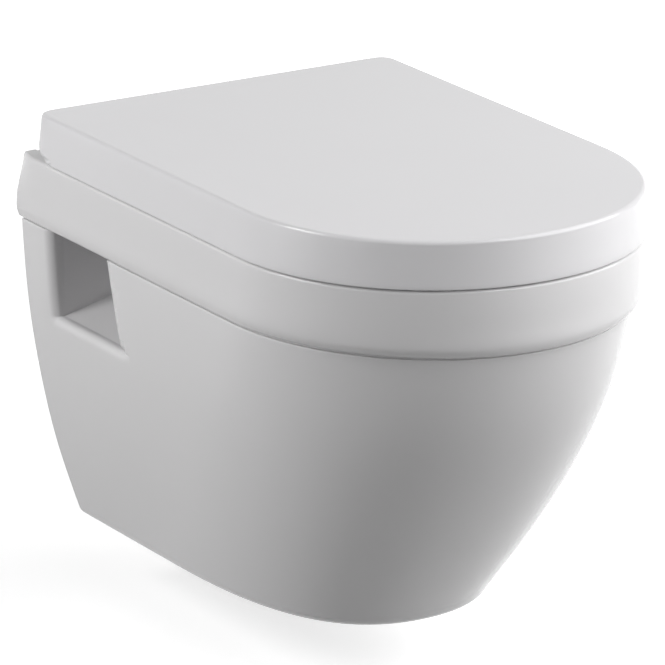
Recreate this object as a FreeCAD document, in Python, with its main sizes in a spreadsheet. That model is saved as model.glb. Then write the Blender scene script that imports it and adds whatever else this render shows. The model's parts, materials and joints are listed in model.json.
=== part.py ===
import FreeCAD, Part
import math
import os
import re

import Sketcher

# A wall hung toilet: a one-piece vitreous china pan, its wall fixings, and a soft-close seat and lid.
# The origin is on the wall plane, midway between the two wall studs.
# +Z is up, the front points towards -Y, and +X is to the right of somebody who stands at the wall
# and looks along +Y. All sizes are in millimetres.

os.makedirs("parts", exist_ok=True)
doc = FreeCAD.newDocument("wall_hung_toilet")
Vector = FreeCAD.Vector

DRIVING = {
    # the pan's outside
    "rimTop": 80,  # height of the rim over the stud line
    "overallLength": 530,  # from the wall to the front of the lid
    "bandWidth": 360,
    "bandDrop": 57.4,  # from the rim's top to the band's lower edge
    "bodyTopDrop": 59,
    "shadowDepth": 2.2,
    "bandTopRounding": 8,
    "bodyDrop": 338,  # from the rim's top to the underside
    "footRounding": 10,
    "footLean": 0.33,  # the body still draws in by this share of its fall, where the foot begins
    "wall": 11,
    "deck": 16,
    "wallTrim": 1,  # the sections run past the wall plane by this much before the rear is cut flat
    # bowl, trap and pipe connections
    "bowlWall": 10,
    "mouthRounding": 5,
    "inletRise": 35,  # centre of the flush inlet over the stud line
    "inletBore": 55,
    "inletRecess": 8,
    "inletRecessRadius": 43,
    "inletDepth": 62,
    "channelWidth": 42,
    "channelHeight": 26,
    "channelEnd": 175,
    "hornRadius": 37,
    "hornReach": 150,
    "hornWeb": 10,
    "outletFall": 100,  # centre of the outlet under the stud line
    "spigotDiameter": 102,
    "spigotBore": 80,
    "spigotRecess": 12,
    "spigotLength": 48,
    "outletRecessRadius": 65,
    "trapBore": 64,
    "trapWall": 10,
    "sealDepth": 38,
    "sealFlange": 34,
    "sealLip": 4,
    "sealBore": 22.8,
    "sealRelief": 25,
    # wall fixings
    "studSpacing": 180,
    "flangeDepth": 43,
    "sleeveRadius": 10,
    "sleeveBore": 6.5,
    "sleeveCollar": 15,
    "sleeveCollarDepth": 2,
    "studWasherRadius": 16,
    "studWasherDepth": 2.5,
    "studNutFlats": 19,
    "studNutDepth": 10,
    "studNutBore": 5.3,
    "capRadius": 14,
    "capLength": 30,
    "capWall": 1.6,
    "capBevel": 3,
    # side pockets
    "pocketInner": 66,
    "pocketTop": 21.8,
    "pocketFloor": -57,
    "pocketFrontTop": 141,
    "pocketFrontFoot": 154,
    "pocketSlope": 14,
    "pocketCorner": 4.5,
    "roomSide": 160,  # the room behind the skin reaches this far out, and its floor slopes from roomFoot
    "roomFoot": 158,
    # seat fixings
    "hingeSpacing": 156,
    "boltLine": 72,  # distance of the seat bolts from the wall
    "boltRadius": 4,
    "boltHole": 7.5,
    "boltEnd": 52,
    "boltHeadWidth": 12.8,
    "boltHeadLength": 15,
    "boltHeadDepth": 4.5,
    "fixingRadius": 11,
    "fixingCollar": 5,
    "fixingWasher": 2,
    "wingHubRadius": 8,
    "wingHubDepth": 14,
    "wingSpan": 40,
    "wingThickness": 4,
    "wingDepth": 12,
    "gasketDepth": 1,
    "baseDepth": 3,
    "baseWidth": 26,
    "baseFront": 87,
    "baseRear": 59,
    "baseCorner": 4,
    # hinge
    "hingeLine": 48,
    "hingeRise": 27.5,
    "eyeRadius": 8,
    "postWidth": 19,
    "neckFront": 36,  # the cranked neck, measured from the hinge line
    "neckRear": 25.5,
    "neckUnder": 4,
    "neckChamfer": 6,
    "headWindow": 13.2,
    "windowRise": 7,
    "pinRadius": 4,
    "pinPlay": 0.05,
    "pinInner": 47,
    "pinOuter": 113,
    "bushRadius": 6,
    "damperHead": 7,
    # seat
    "seatWidth": 342,
    "seatFront": 521,
    "seatRear": 92,
    "seatUnder": 6,
    "seatDepth": 20,
    "seatHoleWidth": 214,
    "seatHoleFront": 452,
    "seatHoleRear": 168,
    "seatRounding": 7,
    "seatEasing": 2.5,
    "armRoot": 12,
    "seatArmInner": 48,
    "seatArmOuter": 68,
    "bufferRadius": 8,
    "bufferBevel": 1.5,
    # lid
    "lidWidth": 360,
    "lidTop": 41,
    "lidUnder": 1,
    "lidRear": 25.5,
    "lidDraft": 4.5,
    "lidCorner": 14,
    "lidRounding": 3,
    "lidWall": 4.5,
    "lidPlate": 5,
    "lidArmInner": 88,
    "lidArmOuter": 112,
    "lidNotchInner": 62,
    "lidNotchOuter": 94,
    "sweepLine": 63,  # the rounded lower rear corner, seen from the side
    "sweepReach": 36,
    "sweepFall": 33,
    "sweepRise": 34,
}

sheet = doc.addObject("Spreadsheet::Sheet", "Sizes")
for row, (alias, value) in enumerate(DRIVING.items(), 1):
    sheet.set(f"A{row}", alias)
    sheet.set(f"B{row}", str(value))
    sheet.setAlias(f"B{row}", alias)
doc.recompute()


def size(text):
    """The value of a formula that is written with the sheet's names."""
    return float(sheet.evalExpression(tie(text)))


def tie(text):
    """A formula with each sheet name written as the sheet's own cell."""
    def cell(word):
        return f"Sizes.{word[0]}" if word[0] in DRIVING else word[0]

    return re.sub(r"[A-Za-z]\w*", cell, str(text))


def bind(item, **formulas):
    """Tie properties to formulas; an underscore in a property's name stands for a dot."""
    for name, formula in formulas.items():
        item.setExpression(name.replace("_", "."), tie(formula))
    return item


# ---------------------------------------------------------------- simple solids and booleans

TURN = {
    "X": FreeCAD.Rotation(Vector(0, 1, 0), 90),
    "Y": FreeCAD.Rotation(Vector(1, 0, 0), -90),
    "Z": FreeCAD.Rotation(),
}


def cylinder(name, axis, radius, start, end, x=0, y=0, z=0):
    """A round bar along an axis, from start to end."""
    item = doc.addObject("Part::Cylinder", name)
    item.Placement = FreeCAD.Placement(Vector(), TURN[axis])
    place = {"X": x, "Y": y, "Z": z}
    place[axis] = start
    bind(item, Radius=radius, Height=f"({end}) - ({start})")
    return bind(item, Placement_Base_x=place["X"], Placement_Base_y=place["Y"], Placement_Base_z=place["Z"])


def cone(name, axis, wide, narrow, start, end, x=0, y=0, z=0):
    """A bevelled end along an axis, wide at its start and narrow at its end."""
    item = doc.addObject("Part::Cone", name)
    item.Placement = FreeCAD.Placement(Vector(), TURN[axis])
    place = {"X": x, "Y": y, "Z": z}
    place[axis] = start
    bind(item, Radius1=wide, Radius2=narrow, Height=f"({end}) - ({start})")
    return bind(item, Placement_Base_x=place["X"], Placement_Base_y=place["Y"], Placement_Base_z=place["Z"])


HINGE_Z = "rimTop + hingeRise"


def seatBar(name, side, radius, start, end):
    """A round bar on the line of one seat bolt."""
    return cylinder(name, "Z", radius, start, end, f"{side} * hingeSpacing / 2", "-boltLine")


def hingeBar(name, side, radius, near, far):
    """A round bar on the hinge line, between near and far on one side."""
    return cylinder(name, "X", radius, *sideSpan(side, near, far), y="-hingeLine", z=HINGE_Z)


def box(name, x, y, z):
    """A block between two formulas on each axis."""
    item = doc.addObject("Part::Box", name)
    bind(item, Length=f"({x[1]}) - ({x[0]})", Width=f"({y[1]}) - ({y[0]})", Height=f"({z[1]}) - ({z[0]})")
    return bind(item, Placement_Base_x=x[0], Placement_Base_y=y[0], Placement_Base_z=z[0])


def hexagon(name, flats, start, end, x, z):
    """A hexagonal bar along Y."""
    item = doc.addObject("Part::Prism", name)
    item.Polygon = 6
    item.Placement = FreeCAD.Placement(Vector(), TURN["Y"])
    bind(item, Circumradius=f"({flats}) / 2 / cos(30)", Height=f"({end}) - ({start})")
    return bind(item, Placement_Base_x=x, Placement_Base_y=start, Placement_Base_z=z)


def fuse(name, *items):
    joined = doc.addObject("Part::MultiFuse", name)
    joined.Shapes = list(items)
    joined.Refine = True
    return joined


def cut(name, base, *tools):
    result = doc.addObject("Part::Cut", name)
    result.Base = base
    result.Tool = tools[0] if len(tools) == 1 else fuse(name + "_tools", *tools)
    result.Refine = True
    return result


def common(name, first, second):
    result = doc.addObject("Part::Common", name)
    result.Base = first
    result.Tool = second
    result.Refine = True
    return result


def fillet(name, base, radius, wanted):
    """Round the edges of base that the test picks."""
    doc.recompute()
    picked = [number for number, edge in enumerate(base.Shape.Edges, 1) if wanted(edge)]
    result = doc.addObject("Part::Fillet", name)
    result.Base = base
    result.Edges = [(number, size(radius), size(radius)) for number in picked]
    return result


def sideSpan(side, near, far):
    """Start and end along X of a piece that lies between near and far on one side."""
    return (near, far) if side > 0 else (f"-({far})", f"-({near})")


# ---------------------------------------------------------------- outlines and lofts


def frontEdges(height, halfWidth, straight, front, squareness):
    """The rounded front of a D, from its right side to its left, in two halves.

    Squareness is the exponent of the superellipse that each half follows: 2 is a round front.
    """
    pull = (8 * 0.5 ** (1 / squareness) - 4) / 3
    depth = front - straight
    edges = []
    for side in (1, -1):
        poles = [
            Vector(side * halfWidth, -straight, height),
            Vector(side * halfWidth, -straight - pull * depth, height),
            Vector(side * pull * halfWidth, -front, height),
            Vector(0, -front, height),
        ]
        curve = Part.BezierCurve()
        curve.setPoles(poles[::side])
        edges.append(curve.toShape())
    return edges


def dOutline(name, height, halfWidth, straight, front, squareness=2.0, rear=0.0, corner=0.0):
    """A closed D: a straight rear edge, two straight sides and a rounded front."""
    left = Vector(-halfWidth, -rear - corner, height)
    right = Vector(halfWidth, -rear - corner, height)
    edges = []
    if corner:
        slack = corner * (1 - math.sqrt(0.5))
        rearLeft = Vector(-halfWidth + corner, -rear, height)
        rearRight = Vector(halfWidth - corner, -rear, height)
        bendLeft = Vector(-halfWidth + slack, -rear - slack, height)
        bendRight = Vector(halfWidth - slack, -rear - slack, height)
        edges.append(Part.Arc(left, bendLeft, rearLeft).toShape())
        edges.append(Part.makeLine(rearLeft, rearRight))
        edges.append(Part.Arc(rearRight, bendRight, right).toShape())
    else:
        edges.append(Part.makeLine(left, right))
    edges.append(Part.makeLine(right, Vector(halfWidth, -straight, height)))
    edges.extend(frontEdges(height, halfWidth, straight, front, squareness))
    edges.append(Part.makeLine(Vector(-halfWidth, -straight, height), left))
    outline = doc.addObject("Part::Feature", name)
    outline.Shape = Part.Wire(edges)
    return outline


def oval(name, height, halfWidth, rear, front):
    """A closed oval between a rear and a front line, in four quarters."""
    middle = (front + rear) / 2
    edges = frontEdges(height, halfWidth, middle, front, 2.0)
    edges += frontEdges(height, -halfWidth, middle, rear, 2.0)
    outline = doc.addObject("Part::Feature", name)
    outline.Shape = Part.Wire(edges)
    return outline


def loft(name, outlines, ruled=False):
    result = doc.addObject("Part::Loft", name)
    result.Sections = outlines
    result.Solid = True
    result.Ruled = ruled
    return result


# ---------------------------------------------------------------- sketched solids


def plane(body, role):
    return next(item for item in body.Origin.OriginFeatures if item.Role == role)


def sketchOn(body, role, name):
    sketch = body.newObject("Sketcher::SketchObject", name)
    sketch.AttachmentSupport = [(plane(body, role), "")]
    sketch.MapMode = "FlatFace"
    return sketch


def pinPoint(sketch, geometry, position, x, y):
    """Hold a sketch point at two formulas, measured from the sketch's origin."""
    for kind, formula in (("DistanceX", x), ("DistanceY", y)):
        value = size(formula)
        if value < 0:
            made = sketch.addConstraint(Sketcher.Constraint(kind, geometry, position, -1, 1, -value))
            sketch.setExpression(f"Constraints[{made}]", tie(f"-({formula})"))
        else:
            made = sketch.addConstraint(Sketcher.Constraint(kind, -1, 1, geometry, position, value))
            sketch.setExpression(f"Constraints[{made}]", tie(formula))


def polygonSketch(body, role, name, corners):
    """A closed outline of straight lines through corners given as pairs of formulas."""
    sketch = sketchOn(body, role, name)
    spots = [Vector(size(x), size(y), 0) for x, y in corners]
    for start, end in zip(spots, spots[1:] + spots[:1]):
        sketch.addGeometry(Part.LineSegment(start, end))
    for number, (x, y) in enumerate(corners):
        following = (number + 1) % len(corners)
        sketch.addConstraint(Sketcher.Constraint("Coincident", number, 2, following, 1))
        pinPoint(sketch, number, 1, x, y)
    return sketch


def pad(body, sketch, length, name, midplane=False):
    feature = body.newObject("PartDesign::Pad", name)
    feature.Profile = sketch
    feature.Midplane = midplane
    bind(feature, Length=length)
    return feature


def extruded(name, role, corners, start, end):
    """A prism: an outline on one of the origin's planes, carried from start to end."""
    body = doc.addObject("PartDesign::Body", name)
    sketch = polygonSketch(body, role, name + "_outline", corners)
    sketch.setExpression("AttachmentOffset.Base.z", tie(start))
    pad(body, sketch, f"({end}) - ({start})", name + "_pad")
    return body


# ---------------------------------------------------------------- the pan

RIM = size("rimTop")
WALL = size("wall")
TRIM = size("wallTrim")
LENGTH = size("overallLength")

# Sections of the band: drop below the rim, half width, end of the straight sides, and front.
# It widens a little down to its middle and curves back in to a fine shadow line over the body.
BAND_SECTIONS = [
    (size("bandTopRounding"), 174.2, 346, 521.8),
    (22, 177.2, 346, 525.2),
    (38, 179.4, 345, 527.4),
    (46, 180.0, 343, 528.0),
    (52, 179.2, 338, 527.6),
    (size("bandDrop"), 176.6, 331, 526.0),
]

# Sections of the body under the band: drop below the rim, half width, end of the straight sides,
# front, and squareness of the front. It narrows and draws back towards the underside.
BODY_SECTIONS = [
    (size("bodyTopDrop"), 175.0, 334, 522.8, 2.03),
    (128, 169.4, 295, 503, 2.17),
    (198, 157.8, 250, 466, 2.30),
    (268, 140.4, 203, 418, 2.42),
    (size("bodyDrop - footRounding"), 119.6, 160, 372, 2.54),
]


def quarterCircle(radius, angles):
    """Inset and depth of points on a rounded edge, from the angles along it."""
    bends = [math.radians(angle) for angle in angles]
    return [(radius * (1 - math.sin(bend)), radius * (1 - math.cos(bend))) for bend in bends]


def panOutline(name, drop, half, straight, front, squareness=2.0, rear=0.0):
    """A level section of the pan, which starts a little behind the wall plane."""
    return dOutline(name, RIM - drop, half, straight, front, squareness, rear - TRIM)


def bodyLoft(name, sections, inset, ruled=False):
    outlines = [
        panOutline(f"{name}_section_{number}", drop, half - inset, straight, front - inset, squareness)
        for number, (drop, half, straight, front, squareness) in enumerate(sections)
    ]
    return loft(name, outlines, ruled)


def bodyOutside():
    """The body with its rounded foot, which leans on as it turns under."""
    radius = size("footRounding")
    lean = size("footLean")
    _, half, straight, front, squareness = BODY_SECTIONS[-1]
    foot = []
    for inset, rise in quarterCircle(radius, (60, 30, 0)):
        fall = radius - rise
        inset += lean * fall
        foot.append((size("bodyDrop") - rise, half - inset, straight - inset, front - inset, squareness))
    return bodyLoft("body", BODY_SECTIONS, 0), bodyLoft("foot", BODY_SECTIONS[-1:] + foot, 0)


def bandOutside():
    """The band under its rounded top edge, whose sections follow a quarter circle."""
    radius = size("bandTopRounding")
    _, topHalf, topStraight, topFront = BAND_SECTIONS[0]
    outlines = [
        panOutline(f"band_edge_{number}", drop, topHalf - inset, topStraight, topFront - inset, rear=inset)
        for number, (inset, drop) in enumerate(quarterCircle(radius, (0, 30, 60)))
    ]
    sides = [panOutline(f"band_section_{number}", *row) for number, row in enumerate(BAND_SECTIONS)]
    return loft("band_edge", outlines + sides[:1]), loft("band", sides)


def panOutside():
    """The band, the narrow neck of the shadow line, and the body."""
    _, *row = BODY_SECTIONS[0]
    neckRows = [(size("bandDrop - 2"), *row), (size("bodyTopDrop + 2"), *row)]
    neck = bodyLoft("neck", neckRows, size("shadowDepth"))
    return fuse("pan_outside", *bandOutside(), neck, *bodyOutside())


# The bowl's inside: drop below the rim, half width, rear and front distance from the wall.
BOWL_SECTIONS = [
    (5, 121, 153, 481),
    (32, 120, 154, 479),
    (90, 108, 160, 462),
    (150, 89, 168, 428),
    (200, 69, 174, 384),
    (243, 50, 180, 335),
    (280, 40, 190, 303),
    (323, 33, 206, 286),
]


def ovals(name, rows):
    return [oval(f"{name}_section_{number}", RIM - drop, *row) for number, (drop, *row) in enumerate(rows)]


def bowlInside():
    """The bowl, whose mouth is rounded over into the rim."""
    _, half, rear, front = BOWL_SECTIONS[0]
    mouth = []
    for flare, drop in quarterCircle(size("mouthRounding"), (0, 30, 60)):
        mouth.append((drop, half + flare, rear - flare, front + flare))
    deep = ovals("bowl", BOWL_SECTIONS)
    return loft("mouth", ovals("mouth", mouth) + deep[:1]), loft("bowl", deep)


def bowlOutside():
    """The cast bowl's hidden outer face, from the deck down into the floor of the body."""
    wall = size("bowlWall")
    _, *mouth = BOWL_SECTIONS[0]
    _, *sump = BOWL_SECTIONS[-1]
    inner = [(0, *mouth), *BOWL_SECTIONS[1:-1], (size("bodyDrop - wall / 2"), *sump)]
    outer = [(drop, half + wall, rear - wall, front + wall) for drop, half, rear, front in inner]
    return loft("bowl_outside", ovals("bowl_outside", outer), ruled=True)


# The trap's centre line, seen from the side: distance from the wall, height and bend radius of each
# corner. It runs back from the sump, up over the weir and out to the wall.
TRAP_CORNERS = [
    (262, -211, 0),
    (172, -211, 52),
    (110, -97, 42),
    (size("spigotRecess + spigotLength") + 1, -size("outletFall"), 0),
]


def trapPath():
    corners = [Vector(0, -reach, height) for reach, height, _ in TRAP_CORNERS]
    edges = []
    start = corners[0]
    for before, corner, after, row in zip(corners, corners[1:], corners[2:], TRAP_CORNERS[1:]):
        radius = row[2]
        arriving = (corner - before).normalize()
        leaving = (after - corner).normalize()
        halfTurn = arriving.getAngle(leaving) / 2
        reach = radius * math.tan(halfTurn)
        inward = (leaving - arriving).normalize()
        middle = corner + inward * (radius / math.cos(halfTurn) - radius)
        arcStart = corner - arriving * reach
        arcEnd = corner + leaving * reach
        edges.append(Part.makeLine(start, arcStart))
        edges.append(Part.Arc(arcStart, middle, arcEnd).toShape())
        start = arcEnd
    edges.append(Part.makeLine(start, corners[-1]))
    return Part.Wire(edges)


def trapTube(name, radius):
    path = trapPath()
    ring = Part.makeCircle(radius, path.Vertexes[0].Point, Vector(0, 1, 0))
    tube = doc.addObject("Part::Feature", name)
    tube.Shape = path.makePipeShell([Part.Wire([ring])], True, True)
    return tube


def pocketRoom(side):
    """The side pocket: an opening through the skin under the band, and a room that widens behind it."""
    label = "right" if side > 0 else "left"
    mouth = extruded(
        f"pocket_opening_{label}",
        "YZ_Plane",
        [
            ("-flangeDepth", "pocketTop"),
            ("-pocketFrontTop", "pocketTop"),
            ("-pocketFrontFoot", "pocketFloor"),
            ("-flangeDepth", "pocketFloor"),
        ],
        *sideSpan(side, "roomFoot", "bandWidth / 2 + 5"),
    )
    upperFront = size("pocketTop") - 0.1, -size("pocketFrontTop") + 0.1

    def atUpperFront(edge):
        return edge.BoundBox.ZMin > upperFront[0] and edge.BoundBox.YMax < upperFront[1]

    opening = fillet(f"pocket_mouth_{label}", mouth, "pocketCorner", atUpperFront)
    # the floor rises inwards from roomFoot
    skin = f"{'' if side > 0 else '-'}({{}})"
    room = extruded(
        f"pocket_room_{label}",
        "XZ_Plane",
        [
            (skin.format("pocketInner"), "rimTop - deck"),
            (skin.format("pocketInner"), "pocketFloor + (roomFoot - pocketInner) * tan(pocketSlope)"),
            (skin.format("roomFoot"), "pocketFloor"),
            (skin.format("roomSide"), "pocketFloor"),
            (skin.format("roomSide"), "rimTop - deck"),
        ],
        "flangeDepth",
        "pocketFrontFoot",
    )
    return opening, room


def makePan():
    outside = panOutside()
    _, half, straight, front, _ = BODY_SECTIONS[0]
    _, footHalf, footStraight, footFront, footSquareness = BODY_SECTIONS[-1]
    hollowTop = (size("deck"), half, straight, front, 2.0)
    hollowFoot = (size("bodyDrop - wall"), footHalf, footStraight, footFront, footSquareness)
    inside = bodyLoft("hollow", [hollowTop, *BODY_SECTIONS[:-1], hollowFoot], WALL, ruled=True)
    underDeck = "rimTop - deck + 1"
    spigotEnd = "-spigotRecess - spigotLength"
    hornSpan = ("-hornReach", "-inletRecess")
    kept = [
        bowlOutside(),
        trapTube("trap_outside", size("trapBore / 2 + trapWall")),
        cylinder("spigot", "Y", "spigotDiameter / 2", spigotEnd, "-spigotRecess", z="-outletFall"),
        cylinder("horn", "Y", "hornRadius", *hornSpan, z="inletRise"),
        box("horn_web", ("-hornWeb / 2", "hornWeb / 2"), hornSpan, ("inletRise", underDeck)),
    ]
    for side, label in ((-1, "left"), (1, "right")):
        kept.append(
            box(
                f"flange_{label}",
                sideSpan(side, "pocketInner - wall", "bandWidth / 2"),
                ("-pocketFrontFoot - wall", "1"),
                ("pocketFloor - wall", underDeck),
            )
        )
    hollow = cut("hollow_room", inside, *kept)
    tools = [
        box(
            "wall_plane",
            ("-bandWidth", "bandWidth"),
            ("0", "2 * wallTrim"),
            ("rimTop - bodyDrop - 5", "rimTop + 5"),
        ),
        hollow,
        *bowlInside(),
        trapTube("trap", size("trapBore / 2")),
        cylinder("outlet_bore", "Y", "spigotBore / 2", f"{spigotEnd} - 2", "1", z="-outletFall"),
        cylinder("outlet_recess", "Y", "outletRecessRadius", "-spigotRecess", "1", z="-outletFall"),
        cylinder("inlet_bore", "Y", "inletBore / 2", "-inletDepth", "1", z="inletRise"),
        box(
            "flush_channel",
            ("-channelWidth / 2", "channelWidth / 2"),
            ("-channelEnd", "-inletDepth + 2"),
            ("inletRise - channelHeight / 2", "inletRise + channelHeight / 2"),
        ),
        cylinder("inlet_recess", "Y", "inletRecessRadius", "-inletRecess", "1", z="inletRise"),
    ]
    for side, label in ((-1, "left"), (1, "right")):
        tools.extend(pocketRoom(side))
        across = f"{side} * studSpacing / 2"
        tools.append(cylinder(f"stud_hole_{label}", "Y", "sleeveRadius", "-flangeDepth - 1", "1", x=across))
        tools.append(seatBar(f"seat_bolt_hole_{label}", side, "boltHole", "rimTop - deck - 1", "rimTop + 1"))
    for tool in tools[:-1]:
        outside = cut(f"pan_less_{tool.Name}", outside, tool)
    return cut("pan", outside, tools[-1])


# ---------------------------------------------------------------- wall fixings

FLANGE = "-flangeDepth"


def studSet(side, label):
    """Sleeve, washer, nut and cap of one wall stud."""
    across = f"{side} * studSpacing / 2"
    collarEnd = f"{FLANGE} - sleeveCollarDepth"
    washerEnd = f"{collarEnd} - studWasherDepth"
    nutEnd = f"{washerEnd} - studNutDepth"
    sleeve = cut(
        f"stud_sleeve_{label}",
        fuse(
            f"sleeve_body_{label}",
            cylinder(f"sleeve_tube_{label}", "Y", "sleeveRadius", FLANGE, "0", x=across),
            cylinder(f"sleeve_collar_{label}", "Y", "sleeveCollar", collarEnd, FLANGE, x=across),
        ),
        cylinder(f"sleeve_bore_{label}", "Y", "sleeveBore", f"{collarEnd} - 1", "1", x=across),
    )
    washer = cut(
        f"stud_washer_{label}",
        cylinder(f"washer_disc_{label}", "Y", "studWasherRadius", washerEnd, collarEnd, x=across),
        cylinder(f"washer_bore_{label}", "Y", "sleeveBore", f"{washerEnd} - 1", "0", x=across),
    )
    nutBlank = common(
        f"nut_blank_{label}",
        hexagon(f"nut_hexagon_{label}", "studNutFlats", nutEnd, washerEnd, across, "0"),
        cylinder(f"nut_turned_{label}", "Y", "studNutFlats / 2 + 1", nutEnd, washerEnd, x=across),
    )
    nut = cut(
        f"stud_nut_{label}",
        nutBlank,
        cylinder(f"nut_bore_{label}", "Y", "studNutBore", f"{nutEnd} - 1", "0", x=across),
    )
    capEnd = f"{washerEnd} - capLength"
    capShoulder = f"{capEnd} + capBevel"
    cap = cut(
        f"stud_cap_{label}",
        fuse(
            f"cap_blank_{label}",
            cylinder(f"cap_side_{label}", "Y", "capRadius", capShoulder, washerEnd, x=across),
            cone(f"cap_end_{label}", "Y", "capRadius - capBevel", "capRadius", capEnd, capShoulder, x=across),
        ),
        cylinder(f"cap_room_{label}", "Y", "capRadius - capWall", capShoulder, "0", x=across),
    )
    return [sleeve, washer, nut, cap]


def makeInletSeal():
    """The lipped rubber sleeve that the flush pipe pushes into, thinner between its two lips."""

    def bar(name, radius, start, end):
        return cylinder(f"inlet_seal_{name}", "Y", radius, start, end, z="inletRise")

    body = fuse(
        "inlet_seal_body",
        bar("tube", "inletBore / 2", "-sealDepth", "-inletRecess"),
        bar("flange", "sealFlange", "-inletRecess", "-inletRecess + sealLip"),
    )
    groove = bar("groove", "sealRelief", "-sealDepth + 1.5 * sealLip", "-inletRecess - 1.5 * sealLip")
    return cut("flush_inlet_seal", body, bar("bore", "sealBore", "-sealDepth - 1", "1"), groove)


# ---------------------------------------------------------------- seat fixings and hinge


def basePlate(name, side, grow, start, end):
    """The rounded rectangle that the hinge post and its gasket share."""
    across = f"{side} * hingeSpacing / 2"
    plate = box(
        f"{name}_plate",
        (f"{across} - baseWidth / 2 - {grow}", f"{across} + baseWidth / 2 + {grow}"),
        (f"-baseFront - {grow}", f"-baseRear + {grow}"),
        (start, end),
    )
    return fillet(f"{name}_corners", plate, "baseCorner", lambda edge: edge.BoundBox.ZLength > 0.5)


def hingePost(side, label):
    """A base plate with two cheeks beside the bolt's head, and a neck cranked back to the eye."""
    across = f"{side} * hingeSpacing / 2"
    baseTop = "rimTop + gasketDepth + baseDepth"
    postInner = "(hingeSpacing - postWidth) / 2"
    postOuter = "(hingeSpacing + postWidth) / 2"
    neck = extruded(
        f"post_neck_{label}",
        "YZ_Plane",
        [
            ("-hingeLine - neckFront", f"{baseTop} - 1"),
            ("-hingeLine - neckRear", f"{baseTop} - 1"),
            ("-hingeLine - neckRear", f"{HINGE_Z} - neckUnder"),
            ("-hingeLine", f"{HINGE_Z} - eyeRadius"),
            ("-hingeLine", f"{HINGE_Z} + eyeRadius"),
            ("-hingeLine - neckFront + neckChamfer", f"{HINGE_Z} + eyeRadius"),
            ("-hingeLine - neckFront", f"{HINGE_Z} + eyeRadius - neckChamfer"),
        ],
        *sideSpan(side, postInner, postOuter),
    )
    blank = fuse(
        f"post_blank_{label}",
        basePlate(f"post_{label}", side, "0", "rimTop + gasketDepth", baseTop),
        neck,
        hingeBar(f"post_eye_{label}", side, "eyeRadius", postInner, postOuter),
    )
    window = box(
        f"post_window_{label}",
        (f"{across} - headWindow / 2", f"{across} + headWindow / 2"),
        ("-baseFront - 1", "-baseRear + 1"),
        (baseTop, f"{baseTop} + windowRise"),
    )
    pinBore = hingeBar(f"post_bore_{label}", side, "pinRadius", "pinInner", "pinOuter")
    boltBore = seatBar(f"base_bore_{label}", side, "boltRadius", "rimTop", f"{baseTop} + 1")
    return cut(f"hinge_post_{label}", blank, window, pinBore, boltBore)


def wingNut(side, label, top):
    across = f"{side} * hingeSpacing / 2"
    blank = fuse(
        f"wing_body_{label}",
        seatBar(f"wing_hub_{label}", side, "wingHubRadius", f"{top} - wingHubDepth", top),
        box(
            f"wing_blades_{label}",
            (f"{across} - wingThickness / 2", f"{across} + wingThickness / 2"),
            ("-boltLine - wingSpan / 2", "-boltLine + wingSpan / 2"),
            (f"{top} - wingThickness - wingDepth", f"{top} - wingThickness"),
        ),
    )
    threadEnd = f"{top} - wingHubDepth - wingDepth"
    thread = seatBar(f"wing_bore_{label}", side, "boltRadius", threadEnd, f"{top} + 1")
    return cut(f"seat_wing_nut_{label}", blank, thread)


def seatFixing(side, label):
    """Gasket, post, bolt, bush, washer and wing nut of one hinge, and its pin."""
    across = f"{side} * hingeSpacing / 2"
    gasketTop = "rimTop + gasketDepth"
    baseTop = f"{gasketTop} + baseDepth"
    under = "rimTop - deck"
    collarEnd = f"{under} - fixingCollar"
    washerEnd = f"{collarEnd} - fixingWasher"

    def bar(name, radius, start, end):
        return seatBar(f"{name}_{label}", side, radius, start, end)

    gasket = cut(
        f"hinge_gasket_{label}",
        basePlate(f"gasket_{label}", side, "0.5", "rimTop", gasketTop),
        bar("gasket_bore", "boltRadius", "rimTop - 1", f"{gasketTop} + 1"),
    )
    head = box(
        f"bolt_head_{label}",
        (f"{across} - boltHeadWidth / 2", f"{across} + boltHeadWidth / 2"),
        ("-boltLine - boltHeadLength / 2", "-boltLine + boltHeadLength / 2"),
        (baseTop, f"{baseTop} + boltHeadDepth"),
    )
    bolt = fuse(f"seat_bolt_{label}", bar("bolt_shank", "boltRadius", "rimTop - boltEnd", baseTop), head)
    bush = cut(
        f"seat_bolt_bush_{label}",
        fuse(
            f"bush_body_{label}",
            bar("bush_shank", "boltHole", under, "rimTop - 1"),
            bar("bush_collar", "fixingRadius", collarEnd, under),
        ),
        bar("bush_bore", "boltRadius", f"{collarEnd} - 1", "rimTop"),
    )
    washer = cut(
        f"seat_bolt_washer_{label}",
        bar("bolt_washer", "fixingRadius", washerEnd, collarEnd),
        bar("bolt_washer_bore", "boltRadius", f"{washerEnd} - 1", under),
    )
    pin = hingeBar(f"hinge_pin_{label}", side, "pinRadius", "pinInner", "pinOuter")
    return [gasket, hingePost(side, label), bolt, bush, washer, wingNut(side, label, washerEnd), pin]


# ---------------------------------------------------------------- seat


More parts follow.
